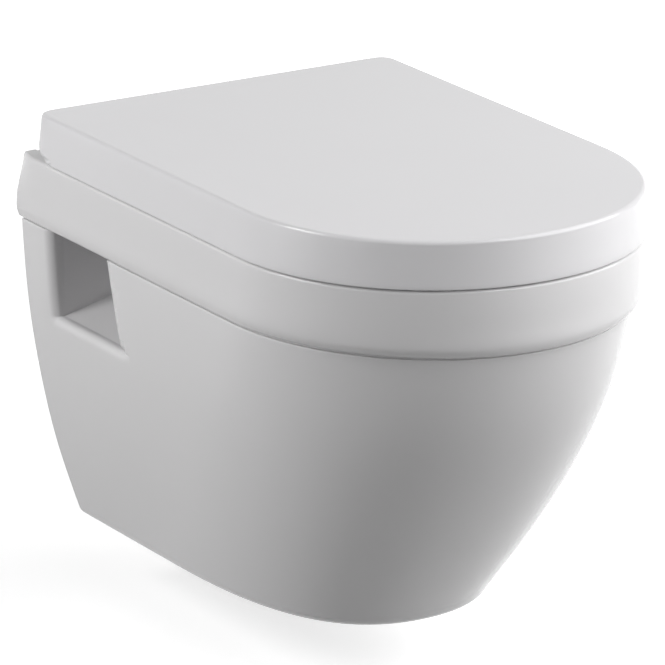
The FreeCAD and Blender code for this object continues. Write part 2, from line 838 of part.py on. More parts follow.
def dSketch(body, name, halfWidth, straight, rear, height):
    """A D with a semicircular front, tied to the sheet."""
    sketch = sketchOn(body, "XY_Plane", name)
    sketch.setExpression("AttachmentOffset.Base.z", tie(height))
    half = size(halfWidth)
    end = -size(straight)
    back = -size(rear)
    sketch.addGeometry(Part.LineSegment(Vector(-half, back, 0), Vector(half, back, 0)))
    sketch.addGeometry(Part.LineSegment(Vector(half, back, 0), Vector(half, end, 0)))
    circle = Part.Circle(Vector(0, end, 0), Vector(0, 0, 1), half)
    sketch.addGeometry(Part.ArcOfCircle(circle, math.pi, 2 * math.pi))
    sketch.addGeometry(Part.LineSegment(Vector(-half, end, 0), Vector(-half, back, 0)))
    sketch.addConstraint(Sketcher.Constraint("Coincident", 0, 2, 1, 1))
    sketch.addConstraint(Sketcher.Constraint("Tangent", 1, 2, 2, 2))
    sketch.addConstraint(Sketcher.Constraint("Tangent", 2, 1, 3, 1))
    sketch.addConstraint(Sketcher.Constraint("Coincident", 3, 2, 0, 1))
    sketch.addConstraint(Sketcher.Constraint("Horizontal", 0))
    sketch.addConstraint(Sketcher.Constraint("Vertical", 1))
    sketch.addConstraint(Sketcher.Constraint("PointOnObject", 2, 3, -2))
    made = sketch.addConstraint(Sketcher.Constraint("Radius", 2, half))
    sketch.setExpression(f"Constraints[{made}]", tie(halfWidth))
    made = sketch.addConstraint(Sketcher.Constraint("DistanceY", 2, 3, -1, 1, -end))
    sketch.setExpression(f"Constraints[{made}]", tie(straight))
    made = sketch.addConstraint(Sketcher.Constraint("DistanceY", 0, 1, -1, 1, -back))
    sketch.setExpression(f"Constraints[{made}]", tie(rear))
    return sketch


def stadiumSketch(body, name, halfWidth, rear, front, height):
    """Two half circles joined by straight sides, tied to the sheet."""
    sketch = sketchOn(body, "XY_Plane", name)
    sketch.setExpression("AttachmentOffset.Base.z", tie(height))
    half = size(halfWidth)
    near = -size(rear) - half
    far = -size(front) + half
    upward = Vector(0, 0, 1)
    sketch.addGeometry(Part.ArcOfCircle(Part.Circle(Vector(0, near, 0), upward, half), 0, math.pi))
    sketch.addGeometry(Part.LineSegment(Vector(-half, near, 0), Vector(-half, far, 0)))
    sketch.addGeometry(Part.ArcOfCircle(Part.Circle(Vector(0, far, 0), upward, half), math.pi, 2 * math.pi))
    sketch.addGeometry(Part.LineSegment(Vector(half, far, 0), Vector(half, near, 0)))
    for first, firstEnd, second, secondEnd in ((0, 2, 1, 1), (1, 2, 2, 1), (2, 2, 3, 1), (3, 2, 0, 1)):
        sketch.addConstraint(Sketcher.Constraint("Tangent", first, firstEnd, second, secondEnd))
    for arc, line in ((0, f"{rear} + {halfWidth}"), (2, f"{front} - {halfWidth}")):
        sketch.addConstraint(Sketcher.Constraint("PointOnObject", arc, 3, -2))
        made = sketch.addConstraint(Sketcher.Constraint("DistanceY", arc, 3, -1, 1, size(line)))
        sketch.setExpression(f"Constraints[{made}]", tie(line))
    made = sketch.addConstraint(Sketcher.Constraint("Radius", 0, half))
    sketch.setExpression(f"Constraints[{made}]", tie(halfWidth))
    return sketch


def makeSeatRing():
    under = "rimTop + seatUnder"
    body = doc.addObject("PartDesign::Body", "ring_body")
    outline = dSketch(body, "ring_outline", "seatWidth / 2", "seatFront - seatWidth / 2", "seatRear", under)
    slab = pad(body, outline, "seatDepth", "ring_pad")
    doc.recompute()
    pocket = body.newObject("PartDesign::Pocket", "ring_pocket")
    hole = ("seatHoleWidth / 2", "seatHoleRear", "seatHoleFront")
    pocket.Profile = stadiumSketch(body, "ring_hole", *hole, under)
    pocket.Reversed = True
    bind(pocket, Length="seatDepth")
    doc.recompute()
    if not pocket.Shape.Volume < slab.Shape.Volume:
        raise RuntimeError("the seat's hole cuts nothing")
    top = size(f"{under} + seatDepth")
    bottom = size(under)
    rounded = fillet("ring_rounded", body, "seatRounding", lambda edge: edge.BoundBox.ZMin > top - 0.01)
    eased = fillet("ring_eased", rounded, "seatEasing", lambda edge: edge.BoundBox.ZMax < bottom + 0.01)
    pieces = [eased]
    bores = []
    for side, label in ((-1, "left"), (1, "right")):
        ends = sideSpan(side, "seatArmInner", "seatArmOuter")
        pieces.append(
            extruded(
                f"seat_arm_{label}",
                "YZ_Plane",
                [
                    ("-seatRear - armRoot", f"{under} + 4"),
                    ("-seatRear", f"{under} + 4"),
                    ("-hingeLine - 2", f"{HINGE_Z} - eyeRadius + 0.2"),
                    ("-hingeLine", f"{HINGE_Z} + eyeRadius"),
                    ("-seatRear - armRoot", f"{under} + seatDepth - 1"),
                ],
                *ends,
            )
        )
        pieces.append(hingeBar(f"seat_eye_{label}", side, "eyeRadius", "seatArmInner", "seatArmOuter"))
        bores.append(hingeBar(f"seat_bore_{label}", side, "bushRadius", "seatArmInner", "seatArmOuter"))
    return cut("seat_ring", fuse("seat_solid", *pieces), *bores)


def buffer(name, x, y, low, high):
    """A round rubber foot with a bevelled edge."""
    shoulder = f"{low} + bufferBevel"
    return fuse(
        name,
        cone(f"{name}_bevel", "Z", "bufferRadius - bufferBevel", "bufferRadius", low, shoulder, x, y),
        cylinder(f"{name}_side", "Z", "bufferRadius", shoulder, high, x, y),
    )


def hingeBush(name, side, near, far):
    """A plain sleeve that turns on a hinge pin."""
    blank = hingeBar(f"{name}_blank", side, "bushRadius", near, far)
    return cut(name, blank, hingeBar(f"{name}_bore", side, "pinRadius + pinPlay", near, far))


def damper(name, side, arm, head):
    """A closed rotary damper barrel: a sleeve in the arm's bore with a head beside the arm."""
    blank = fuse(
        f"{name}_blank",
        hingeBar(f"{name}_shank", side, "bushRadius", *arm),
        hingeBar(f"{name}_head", side, "eyeRadius - 0.5", *head),
    )
    bore = hingeBar(f"{name}_bore", side, "pinRadius + pinPlay", "pinInner - 1", "pinOuter + 1")
    return cut(name, blank, bore)


SEAT_FEET = {
    "rear_left": ("-142", "-150"),
    "rear_right": ("142", "-150"),
    "front_left": ("-92", "-462"),
    "front_right": ("92", "-462"),
}
LID_FEET = {
    "left": ("-100", "-450"),
    "right": ("100", "-450"),
}


# ---------------------------------------------------------------- lid


def lidShell(name, low, high, inset):
    """A D that draws in towards its top."""
    half = size("lidWidth / 2")
    rows = []
    for number, (height, lean) in enumerate([(low, 0), (high, size("lidDraft"))]):
        draw = lean + inset
        rows.append(
            dOutline(
                f"{name}_section_{number}", height, half - draw, LENGTH - half, LENGTH - draw,
                rear=size("lidRear") + inset, corner=size("lidCorner") - inset,
            )
        )
    return loft(name, rows)


def lidRelief():
    """Rounds off the lower rear corner, seen from the side, so that the lid clears the rim as it opens."""
    line, reach, fall = (size(name) for name in ("sweepLine", "sweepReach", "sweepFall"))
    centre = RIM + size("sweepRise")
    below = RIM - size("lidUnder")
    behind = reach - line + size("lidRounding")
    bend = math.sqrt(0.5)
    start = Vector(0, -line, centre - fall)
    end = Vector(0, reach - line, centre)
    edges = [
        Part.Arc(start, Vector(0, reach * bend - line, centre - fall * bend), end).toShape(),
        Part.makeLine(end, Vector(0, behind, centre)),
        Part.makeLine(Vector(0, behind, centre), Vector(0, behind, below)),
        Part.makeLine(Vector(0, behind, below), Vector(0, -line, below)),
        Part.makeLine(Vector(0, -line, below), start),
    ]
    profile = doc.addObject("Part::Feature", "lid_side_view")
    profile.Shape = Part.Face(Part.Wire(edges))
    relief = doc.addObject("Part::Extrusion", "lid_relief")
    relief.Base = profile
    relief.DirMode = "Custom"
    relief.Dir = Vector(1, 0, 0)
    relief.Symmetric = True
    relief.Solid = True
    bind(relief, LengthFwd="lidWidth + 20")
    return relief


def makeLid():
    under = RIM + size("lidUnder")
    top = RIM + size("lidTop")
    plate = "rimTop + lidTop - lidPlate"
    outside = lidShell("lid_outside", under, top, 0)
    rounded = fillet("lid_rounded", outside, "lidRounding", lambda edge: edge.BoundBox.ZMin > top - 0.01)
    tools = [lidRelief(), lidShell("lid_room", under - 1, size(plate), size("lidWall"))]
    arms = []
    bores = []
    for side, label in ((-1, "left"), (1, "right")):
        tools.append(
            box(
                f"lid_notch_{label}",
                sideSpan(side, "lidNotchInner", "lidNotchOuter"),
                ("-hingeLine", "0"),
                ("rimTop - 5", plate),
            )
        )
        ends = sideSpan(side, "lidArmInner", "lidArmOuter")
        hinge = ("-hingeLine - eyeRadius", "-hingeLine + eyeRadius")
        arms.append(box(f"lid_arm_{label}", ends, hinge, (HINGE_Z, f"{plate} + 1")))
        arms.append(hingeBar(f"lid_eye_{label}", side, "eyeRadius", "lidArmInner", "lidArmOuter"))
        bores.append(hingeBar(f"lid_bore_{label}", side, "bushRadius", "lidArmInner", "lidArmOuter"))
    return cut("lid", fuse("lid_solid", cut("lid_hollow", rounded, *tools), *arms), *bores)


# ---------------------------------------------------------------- assembly and export

subParts = [makePan(), makeInletSeal()]
for side, label in ((-1, "left"), (1, "right")):
    subParts.extend(studSet(side, label))
    subParts.extend(seatFixing(side, label))
seatArm = ("seatArmInner", "seatArmOuter")
seatTop = "rimTop + seatUnder + seatDepth"
subParts.append(makeSeatRing())
for spot, (x, y) in SEAT_FEET.items():
    subParts.append(buffer(f"seat_buffer_{spot}", x, y, "rimTop", "rimTop + seatUnder"))
subParts.append(damper("seat_damper", -1, seatArm, ("pinInner - damperHead", "seatArmInner")))
subParts.append(hingeBush("seat_hinge_bush", 1, *seatArm))
lidArm = ("lidArmInner", "lidArmOuter")
subParts.append(makeLid())
for spot, (x, y) in LID_FEET.items():
    subParts.append(buffer(f"lid_buffer_{spot}", x, y, seatTop, "rimTop + lidTop - lidPlate"))
subParts.append(damper("lid_damper", 1, lidArm, ("lidArmOuter", "pinOuter + damperHead")))
subParts.append(hingeBush("lid_hinge_bush", -1, *lidArm))

doc.recompute()
for item in doc.Objects:
    if {"Invalid", "Error"} & set(item.State):
        raise RuntimeError(f"{item.Name} failed: {item.State}")
for item in subParts:
    item.Label = item.Name
    if item.Shape.isNull() or not item.Shape.isValid() or not item.Shape.Solids:
        raise RuntimeError(f"{item.Label} has no valid shape")
    item.Shape.exportStep(f"parts/{item.Label}.step")
    print(f"{item.Label}: {len(item.Shape.Solids)} solid, {item.Shape.Volume / 1000:.1f} cm3")
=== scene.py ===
import math

import bmesh
import bpy
import numpy as np
from mathutils import Matrix, Vector
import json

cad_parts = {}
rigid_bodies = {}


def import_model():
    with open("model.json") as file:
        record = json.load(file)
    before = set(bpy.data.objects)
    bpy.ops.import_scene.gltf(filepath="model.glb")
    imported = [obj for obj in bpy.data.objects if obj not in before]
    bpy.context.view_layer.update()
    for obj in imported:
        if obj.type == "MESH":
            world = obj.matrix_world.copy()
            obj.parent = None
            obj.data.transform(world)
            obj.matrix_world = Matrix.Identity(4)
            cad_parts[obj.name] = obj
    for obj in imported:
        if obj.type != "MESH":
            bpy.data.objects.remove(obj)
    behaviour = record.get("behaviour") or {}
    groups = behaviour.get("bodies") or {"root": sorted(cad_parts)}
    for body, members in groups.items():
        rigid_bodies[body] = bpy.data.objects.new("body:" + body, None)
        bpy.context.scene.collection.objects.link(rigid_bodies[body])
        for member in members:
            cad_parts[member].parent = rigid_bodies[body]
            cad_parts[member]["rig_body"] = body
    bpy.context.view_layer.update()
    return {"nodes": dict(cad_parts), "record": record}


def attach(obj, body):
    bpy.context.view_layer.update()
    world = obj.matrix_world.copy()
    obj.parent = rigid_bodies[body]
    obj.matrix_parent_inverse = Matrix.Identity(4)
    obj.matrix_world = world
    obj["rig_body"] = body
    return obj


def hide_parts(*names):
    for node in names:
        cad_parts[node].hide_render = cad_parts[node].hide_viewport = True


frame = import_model()
print("frame loaded:", len(frame["nodes"]), "nodes")


# camera, at the photograph's angle; the picture is taken to be 665 x 665

view = {
    "target": (-0.01184, -0.23372, -0.04278),
    "azimuth": -32.97,  # degrees, from straight ahead towards the left
    "elevation": 18.09,
    "roll": 0.67,
    "distance": 4.98748,
    "lens": 324.766,
    "sensor": 36,  # its width in mm
    "clipEnd": 50,
}


def addCamera(v):
    # the back axis comes from azimuth and elevation, and roll turns the other two about it
    azimuth, elevation, roll = (math.radians(v[name]) for name in ("azimuth", "elevation", "roll"))
    level = math.cos(elevation)
    back = Vector((math.sin(azimuth) * level, -math.cos(azimuth) * level, math.sin(elevation)))
    right = Vector((0, 0, 1)).cross(back).normalized()
    up = back.cross(right)
    across = right * math.cos(roll) + up * math.sin(roll)
    upward = up * math.cos(roll) - right * math.sin(roll)
    eye = Vector(v["target"]) + back * v["distance"]
    data = bpy.data.cameras.new("photoCamera")
    data.lens = v["lens"]
    data.sensor_width = v["sensor"]
    data.clip_end = v["clipEnd"]
    camera = bpy.data.objects.new("photoCamera", data)
    bpy.context.scene.collection.objects.link(camera)
    turned = Matrix((across, upward, back)).transposed()
    camera.matrix_world = Matrix.Translation(eye) @ turned.to_4x4()
    bpy.context.scene.camera = camera


addCamera(view)


# materials


def linear(hexColour):
    # sRGB hex to linear RGBA
    parts = [int(hexColour[i:i + 2], 16) / 255 for i in (1, 3, 5)]
    return [c / 12.92 if c <= 0.04045 else ((c + 0.055) / 1.055) ** 2.4 for c in parts] + [1]


def addNode(tree, kind, settings=None, **sockets):
    # one node, with its settings and its sockets filled or linked; _3 is the socket at place 3
    made = tree.nodes.new(kind)
    for name, value in (settings or {}).items():
        setattr(made, name, value)
    for name, value in sockets.items():
        socket = made.inputs[int(name[1:]) if name[0] == "_" else name.replace("_", " ")]
        if isinstance(value, bpy.types.NodeSocket):
            tree.links.new(value, socket)
        else:
            socket.default_value = value
    return made


def newMaterial(name):
    material = bpy.data.materials.new(name)
    material.use_nodes = True
    tree = material.node_tree
    tree.nodes.clear()
    shader = addNode(tree, "ShaderNodeBsdfPrincipled")
    addNode(tree, "ShaderNodeOutputMaterial", Surface=shader.outputs[0])
    return material, tree, shader


def surfaceMaterial(name, colour, drift, roughness, rougher=0.05, patch=60.0, grain=10.0, depth=0.02,
                    ior=1.5, metallic=0.0):
    # the colour drifts and the gloss changes in patches, and a fine grain lifts the surface
    # patch and grain are widths in mm, and depth is the height of the grain in mm
    low, high = 0.3, 0.7  # nearly all of the cloud's values lie between these
    material, tree, shader = newMaterial(name)
    place = addNode(tree, "ShaderNodeTexCoord").outputs["Object"]
    cloud = addNode(tree, "ShaderNodeTexNoise", Vector=place, Scale=1000 / patch, Detail=3.0).outputs["Fac"]
    tint = addNode(tree, "ShaderNodeMix", {"data_type": "RGBA"}, _0=cloud, _6=linear(colour),
                   _7=linear(drift))
    sheen = addNode(tree, "ShaderNodeMapRange", Value=cloud, From_Min=low, From_Max=high,
                    To_Min=roughness, To_Max=roughness + rougher)
    ripple = addNode(tree, "ShaderNodeTexNoise", Vector=place, Scale=1000 / grain, Detail=2.0)
    bump = addNode(tree, "ShaderNodeBump", Height=ripple.outputs["Fac"], Strength=1.0, Distance=depth / 1000)
    tree.links.new(tint.outputs[2], shader.inputs["Base Color"])
    tree.links.new(sheen.outputs[0], shader.inputs["Roughness"])
    tree.links.new(bump.outputs[0], shader.inputs["Normal"])
    shader.inputs["Metallic"].default_value = metallic
    if not metallic:
        shader.inputs["IOR"].default_value = ior
    return material


finishes = {
    # vitreous china, slip cast and fired under a clear glaze: a deep gloss that ripples very slightly
    "glazed_china": surfaceMaterial("glazedChina", "#e6e5e6", "#e3e2e3", 0.08, rougher=0.04, patch=90,
                                    grain=22, depth=0.03),
    # urea resin, compression moulded and polished: an even gloss, a little softer than the glaze
    "seat_plastic": surfaceMaterial("polishedUrea", "#e7e6e8", "#e4e3e5", 0.12, rougher=0.04, patch=120,
                                    grain=16, depth=0.012, ior=1.55),
    # moulded black rubber of the flush pipe's seal: dark, dull, with a fine bloom
    "black_rubber": surfaceMaterial("mouldedRubber", "#202123", "#303134", 0.62, patch=8, grain=1.2,
                                    depth=0.02),
    # grey rubber of the bolt bushes: matt and slightly dusty
    "grey_rubber": surfaceMaterial("bushRubber", "#7d8084", "#8a8d90", 0.6, patch=8, grain=1.2, depth=0.02),
    # soft white elastomer of buffers and gaskets: milky, with a low sheen
    "clear_rubber": surfaceMaterial("milkyElastomer", "#cfd1d2", "#dadbdc", 0.36, patch=8, grain=1.5,
                                    depth=0.01),
    # natural nylon of stud sleeves and wing nuts: ivory white and waxy
    "sleeve_plastic": surfaceMaterial("naturalNylon", "#dcdbd5", "#d2d1ca", 0.4, patch=18, grain=2,
                                      depth=0.01),
    # acetal of dampers and hinge bushes: pale grey, smooth and faintly shiny
    "damper_plastic": surfaceMaterial("mouldedAcetal", "#b9bcc0", "#c4c7ca", 0.34, patch=14, grain=1.5,
                                      depth=0.01),
    # zinc plated steel of washers and nuts: blue white with faint warm patches
    "zinc_steel": surfaceMaterial("zincPlate", "#b9bdc0", "#b3b09f", 0.32, rougher=0.1, patch=5, grain=0.9,
                                  depth=0.008, metallic=1.0),
    # turned stainless steel of bolts and pins: a soft grey shine
    "stainless_steel": surfaceMaterial("turnedStainless", "#b9b7b2", "#c4c2be", 0.26, rougher=0.08, patch=8,
                                       grain=0.8, depth=0.005, metallic=1.0),
    # chrome plated zinc of the hinge posts: a clear mirror
    "hinge_chrome": surfaceMaterial("postChrome", "#d8dadc", "#d2d4d7", 0.06, rougher=0.03, patch=20,
                                    grain=4, depth=0.002, metallic=1.0),
    # chromed plastic of the stud caps: a mirror with a slight orange peel
    "cap_chrome": surfaceMaterial("capChrome", "#d8dadc", "#d2d4d7", 0.1, rougher=0.03, patch=20, grain=3,
                                  depth=0.006, metallic=1.0),
}
print("materials:", len(finishes))


# pieces that keep the CAD's own shape, shaded smoothly

slots = {part["node"]: part["material_slot"] for part in frame["record"]["subparts"]}
joinWithin = 2e-6  # corners closer than this, in metres, become one
sharpAngles = {"skin": 34, "cad": 30}  # degrees between two faces from which their edge stays sharp


def mergedCopy(name):
    # the CAD shape with its corners joined into one closed mesh
    mesh = frame["nodes"][name].data.copy()
    work = bmesh.new()
    work.from_mesh(mesh)
    bmesh.ops.remove_doubles(work, verts=work.verts, dist=joinWithin)
    work.to_mesh(mesh)
    work.free()
    return mesh


def addPiece(pieceName, mesh, node, sharpAngle):
    # a piece that stands for a CAD node: it moves with that node's body and takes its finish
    mesh.name = pieceName
    mesh.materials.clear()
    mesh.materials.append(finishes[slots[node]])
    mesh.shade_smooth()
    mesh.set_sharp_from_angle(angle=math.radians(sharpAngle))
    piece = bpy.data.objects.new(pieceName, mesh)
    bpy.context.scene.collection.objects.link(piece)
    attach(piece, frame["nodes"][node]["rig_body"])
    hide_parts(node)


# smooth skins, which are worked out here and then hollowed and bored by the CAD solid


def naturalSpline(knots, values, at):
    # cubics between the knots, with equal slope and bend where they meet and no bend at the ends
    gap = np.diff(knots)
    system = np.eye(len(knots))
    inner = np.arange(1, len(knots) - 1)
    system[inner, inner - 1] = gap[:-1]
    system[inner, inner] = 2 * (gap[:-1] + gap[1:])
    system[inner, inner + 1] = gap[1:]
    climb = np.diff(values, axis=0) / gap[:, None]
    change = np.zeros_like(values)
    change[1:-1] = 6 * np.diff(climb, axis=0)
    bend = np.linalg.solve(system, change)
    cell = np.clip(np.searchsorted(knots, at) - 1, 0, len(gap) - 1)
    width = gap[cell][:, None]
    before = (knots[cell + 1] - at)[:, None] / width
    after = 1 - before
    curve = (before ** 3 - before) * bend[cell] + (after ** 3 - after) * bend[cell + 1]
    return before * values[cell] + after * values[cell + 1] + curve * width ** 2 / 6


def dRings(rows, rear, stops, corner=None, cornerSteps=8, sideSteps=20, noseSteps=36):
    # one D for each row of half width, end of the straight side, front and squareness:
    # rear corner arc, straight side, and a Bezier quarter that runs into the nose, then the same mirrored
    half, straight, front, squareness = (column[:, None] for column in np.asarray(rows, float).T)
    rear = np.broadcast_to(rear, len(rows))[:, None]
    # the quarter's middle lies where a superellipse has it, at 0.5 ** (1 / squareness) = (4 + 3 pull) / 8
    pull = (8 * 0.5 ** (1 / squareness) - 4) / 3
    t = np.linspace(0, 1, noseSteps + 1)[None, 1:]
    s = 1 - t
    noseX = half * (s ** 3 + 3 * s ** 2 * t + 3 * s * t ** 2 * pull)
    noseY = straight + (front - straight) * (3 * s ** 2 * t * pull + 3 * s * t ** 2 + t ** 3)
    fixed = np.broadcast_to(stops, (len(rows), len(stops)))
    share = np.linspace(0, 1, sideSteps + 1)[None, 1:]
    along = fixed[:, -1:] + (straight - fixed[:, -1:]) * share
    sideY = np.hstack([fixed, along])
    sideX = np.broadcast_to(half, sideY.shape)
    if corner is None:
        rearX, rearY = half, rear
    else:
        inset, fall = roundedEdge(corner[:, None], np.linspace(0, 90, cornerSteps + 1)[None])
        rearX, rearY = half - inset, rear + fall
    x, y = np.hstack([rearX, sideX, noseX]), np.hstack([rearY, sideY, noseY])
    left = np.stack([-x, -y], -1)
    right = np.stack([x, -y], -1)[:, -2::-1]
    return np.concatenate([left, right], axis=1)


def closedSkin(rings, heights, hoop=False):
    # rings stacked from the top down, joined by four-sided faces and closed by a flat face at each end,
    # or a hoop, whose last ring joins its first; mm become metres
    rows, columns = rings.shape[:2]
    lift = np.broadcast_to(heights if heights.ndim == 2 else heights[:, None], (rows, columns))
    points = np.concatenate([rings, lift[:, :, None]], axis=2).reshape(-1, 3) / 1000
    index = np.arange(rows * columns).reshape(rows, columns)
    below, following = np.roll(index, -1, axis=0), np.roll(index, -1, axis=1)
    sides = np.stack([index, below, np.roll(below, -1, axis=1), following], -1)
    ends = [] if hoop else [index[0].tolist(), index[-1, ::-1].tolist()]
    mesh = bpy.data.meshes.new("skin")
    mesh.from_pydata(points.tolist(), [], sides[:rows if hoop else -1].reshape(-1, 4).tolist() + ends)
    return mesh


def combined(operation, first, second):
    # an exact solid operation on two closed meshes
    pair = [bpy.data.objects.new(mesh.name, mesh) for mesh in (first, second)]
    for item in pair:
        bpy.context.scene.collection.objects.link(item)
    step = pair[0].modifiers.new("step", "BOOLEAN")
    step.operation = operation
    step.solver = "EXACT"
    step.object = pair[1]
    mesh = bpy.data.meshes.new_from_object(pair[0].evaluated_get(bpy.context.evaluated_depsgraph_get()))
    for item in pair:
        bpy.data.objects.remove(item)
    return mesh


def roundedEdge(radius, angles):
    # inset and fall of points round a quarter circle, from the flat face (0) to the side (90)
    turn = np.radians(angles)
    return radius * (1 - np.sin(turn)), radius * (1 - np.cos(turn))


def drawnIn(row, insets, moved=(1, 0, 1, 0)):
    # the same row once for each inset, with the measures that move made that much smaller
    return np.array(row) - np.outer(insets, moved)


def hoopRound(outline, hoop, openAt, slant=0.1, firstStop=40):
    # a hoop round a D, open at the wall end, that fills the solid out where the skin is a little fuller
    half, straight, front, squareness = outline
    out, inside, foot, head = hoop
    rows = [(half + grow, straight, front + grow, squareness) for grow in (out, out, -inside, -inside)]
    rings = dRings(rows, [openAt, openAt, openAt + slant, openAt + slant], [openAt + firstStop])
    return closedSkin(rings, np.array([head, foot, foot, head]), hoop=True)


pan = {
    "rim": 80,
    # the skin's sides, and its flat top and foot, lie this far inside the measures below, so that no
    # facet of the CAD comes through them
    "skinInset": 0.5,
    "faceInset": 0.1,
    "wallGap": 0.05,  # left between the skin and the wall
    "topRounding": 3,
    "topTurn": np.linspace(0, 81, 8),  # degrees round the edge, as in roundedEdge
    # how much the top edge falls at the wall, how far off that starts, and how far down it fades out
    "cornerFall": (5, 26, 30),
    "hoop": (10, 12, 22.8, 81),  # reach outwards and inwards of the top outline, foot and head
    "hoopFrom": -1,  # how far off the wall its ends are
    # half width, end of the straight side, front, squareness of the front
    "outline": (174.2, 346, 521.8, 2.1),
    # the same after each one's drop below the rim
    "band": [(3, 178.4, 346, 529.2, 2.09), (22, 179.0, 346, 529.6, 2.07), (38, 179.7, 345, 529.7, 2.05),
             (46, 180.1, 343, 529.9, 2.04), (52, 179.3, 340, 529.0, 2.04), (57.4, 176.8, 332, 526.4, 2.02)],
    "bandEnd": 56.4,  # drop of the last of its rings
    "bandRings": 26,
    # drop and inset of the band's eased lower edge, the shadow line and the body's eased upper edge
    "bandEdge": [(57.0, 0.35), (57.3, 1.1)],
    "shadowLine": [(57.35, 4.0), (59.15, 2.4)],
    "bodyEdge": [(59.2, 0.7), (59.4, 0.2), (59.9, 0.03)],
    "body": [(59, 175.0, 334, 522.8, 2.03), (128, 169.4, 295, 503, 2.17), (198, 157.8, 250, 466, 2.30),
             (268, 140.4, 203, 418, 2.42), (328, 119.6, 160, 372, 2.54)],
    "bodyStart": 61.5,
    "bodyRings": (16, 36),  # above and below the curve of the pocket's lower edge
    "bodySpacing": (2, 0.8),  # from those rings to the curve, and from one more ring above it
    "footRounding": 10,
    "footTurn": np.linspace(80, 0, 9),
    "footLean": 0.33,
    "bottom": 338,
    # the pocket's soft rear and lower edges: distances from the wall and from the stud line
    "lipRadius": 8,
    "lipTurn": np.linspace(0, 90, 7),
    "lipRear": 43.1,
    "lipFront": 153.5,
    "lipTop": 21,
    "lipFoot": -56.9,
    # distances from the wall at which the side has points, before and after the curve of the rear edge
    "sideStops": ([4, 6, 8, 10, 12, 14, 17, 21, 27, 32], [45, 49, *range(56, 137, 8)]),
}


def lipFall(y, z, p):
    # the skin falls back by a quarter circle within one radius of the pocket's rear and lower edges
    past = np.clip(z - p["lipTop"], 0, None) + np.clip(p["lipFoot"] - z, 0, None)
    offRear = np.hypot(y + p["lipRear"], past)
    beyond = np.clip(y + p["lipRear"], 0, None) + np.clip(-p["lipFront"] - y, 0, None)
    offFoot = np.hypot(z - p["lipFoot"], beyond)
    away = np.minimum(np.minimum(offRear, offFoot), p["lipRadius"])
    return p["lipRadius"] - np.sqrt(p["lipRadius"] ** 2 - (p["lipRadius"] - away) ** 2)


def panSkin(p):
    # rows of measures and their drops, from the rim to the foot
    band, bandEdge, shadowLine, bodyEdge, body = (
        np.array(p[name], float) for name in ("band", "bandEdge", "shadowLine", "bodyEdge", "body"))
    topInset, topFall = roundedEdge(p["topRounding"], p["topTurn"])
    topFall[0] = p["faceInset"]
    bandDrops = np.linspace(p["topRounding"], p["bandEnd"], p["bandRings"])
    bandRows = naturalSpline(band[:, 0], band[:, 1:], bandDrops)
    upper, lower = np.vstack([bandEdge, shadowLine[:1]]), np.vstack([shadowLine[1:], bodyEdge])
    lipCurve = roundedEdge(p["lipRadius"], p["lipTurn"])[1]
    lipDrops = p["rim"] - p["lipFoot"] + lipCurve
    (above, beneath), (spacing, nearer) = p["bodyRings"], p["bodySpacing"]
    bodyDrops = np.concatenate([
        np.linspace(p["bodyStart"], lipDrops[0] - spacing, above), [lipDrops[0] - nearer], lipDrops,
        np.linspace(lipDrops[-1] + spacing, body[-1, 0], beneath)])
    footInset, footFall = roundedEdge(p["footRounding"], p["footTurn"])
    lean = p["footLean"] * (p["footRounding"] - footFall)
    footDrops = p["bottom"] - np.maximum(footFall, p["faceInset"])
    rows = np.vstack([
        drawnIn(bandRows[0], topInset), bandRows, drawnIn(band[-1, 1:], upper[:, 1]),
        drawnIn(body[0, 1:], lower[:, 1]), naturalSpline(body[:, 0], body[:, 1:], bodyDrops),
        drawnIn(body[-1, 1:], footInset + lean, (1, 1, 1, 0))]) - [p["skinInset"], 0, p["skinInset"], 0]
    drops = np.concatenate([topFall, bandDrops, upper[:, 0], lower[:, 0], bodyDrops, footDrops])
    rears = np.pad(topInset, (0, len(rows) - len(topInset))) + p["wallGap"]
    before, after = p["sideStops"]
    rings = dRings(rows, rears, np.concatenate([before, p["lipRear"] - lipCurve[::-1], after]))
    heights = p["rim"] - drops
    slack = 0.01
    straightSide = np.abs(rings[:, :, 0]) > rows[:, :1] - slack
    below = heights[:, None] < p["lipTop"]
    fall = lipFall(rings[:, :, 1], heights[:, None], p) * straightSide * below
    rings[:, :, 0] -= np.sign(rings[:, :, 0]) * fall
    # towards the wall the top edge falls away, most at the rounding and less and less further down
    sink, reach, fade = p["cornerFall"]
    near = np.clip(1 + rings[:, :, 1] / reach, 0, 1) ** 2
    ends = [p["faceInset"], p["topRounding"], p["topRounding"] + fade]
    depth, draw = (np.interp(drops, ends, shape)[:, None] for shape in ((0, 1, 0), (1, 1, 0)))
    rings[:, :, 0] -= np.sign(rings[:, :, 0]) * near * draw * sink
    return closedSkin(rings, heights[:, None] - near * depth * sink)


lid = {
    "under": 81.1,
    "top": 120.9,
    "halfWidth": 179.9,
    "front": 529.9,
    "straight": 350,
    "sideFrom": 60.0,
    "rear": 25.6,
    "corner": 14,
    "squareness": (2.05, 2.09),  # low and high up
    "sideDraft": 4.5,
    "frontDraft": 2.4,
    "hoops": [(4, 4.3, 80.5, 121.5), (4, 11, 117.2, 121.5)],  # measured as the pan's
    "hoopFrom": 60,
    "topRounding": 3.4,
    "topTurn": np.linspace(0, 90, 9),
    "underRounding": 1.2,
    "underTurn": np.linspace(90, 0, 5),
    "sideRings": 8,
    "noseSteps": 60,
}


